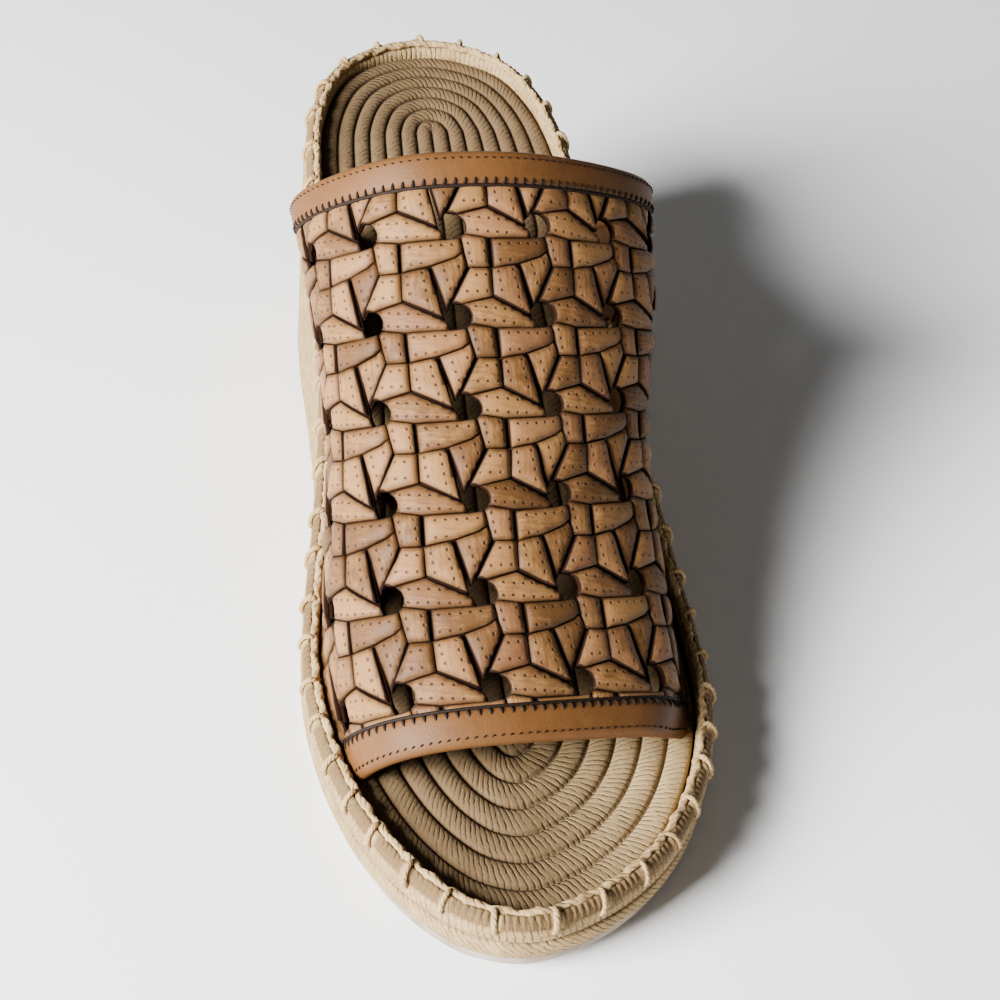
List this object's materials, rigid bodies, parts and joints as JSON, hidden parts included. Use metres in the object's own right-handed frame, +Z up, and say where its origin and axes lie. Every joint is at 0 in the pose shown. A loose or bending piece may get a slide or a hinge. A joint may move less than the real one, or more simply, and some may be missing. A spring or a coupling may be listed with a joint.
{
  "type": "espadrille wedge",
  "caption": "Open-toe espadrille wedge mule for the left foot: woven leather vamp with bound edges on a rope-covered wedge sole with a coiled jute footbed.",
  "frame": {"origin": "on the floor under the middle of the sole's length, on the straight line from toe to heel", "axes": "+Y to the heel, so the toe points to -Y; +X to the outer (lateral) side of the left foot; +Z up"},
  "size_m": [0.0924, 0.247, 0.108],
  "materials": {
    "outsole_rubber": "matt grey-beige rubber",
    "jute_rope": "natural jute rope courses",
    "jute_band": "natural jute yarn, blanket stitched",
    "pale_cord": "pale twisted jute cord",
    "insole_rope": "coiled twisted jute rope",
    "woven_leather": "semi-matt tan leather, dark strip edges",
    "binding_leather": "smooth tan leather, dark stitching"
  },
  "bodies": {
    "root": {"outsole": "outsole_rubber", "wedge_sole": "jute_rope", "edge_band": "jute_band", "edge_cord": "pale_cord", "insole": "insole_rope", "upper": "woven_leather", "front_binding": "binding_leather", "throat_binding": "binding_leather"}
  },
  "joints": []
}
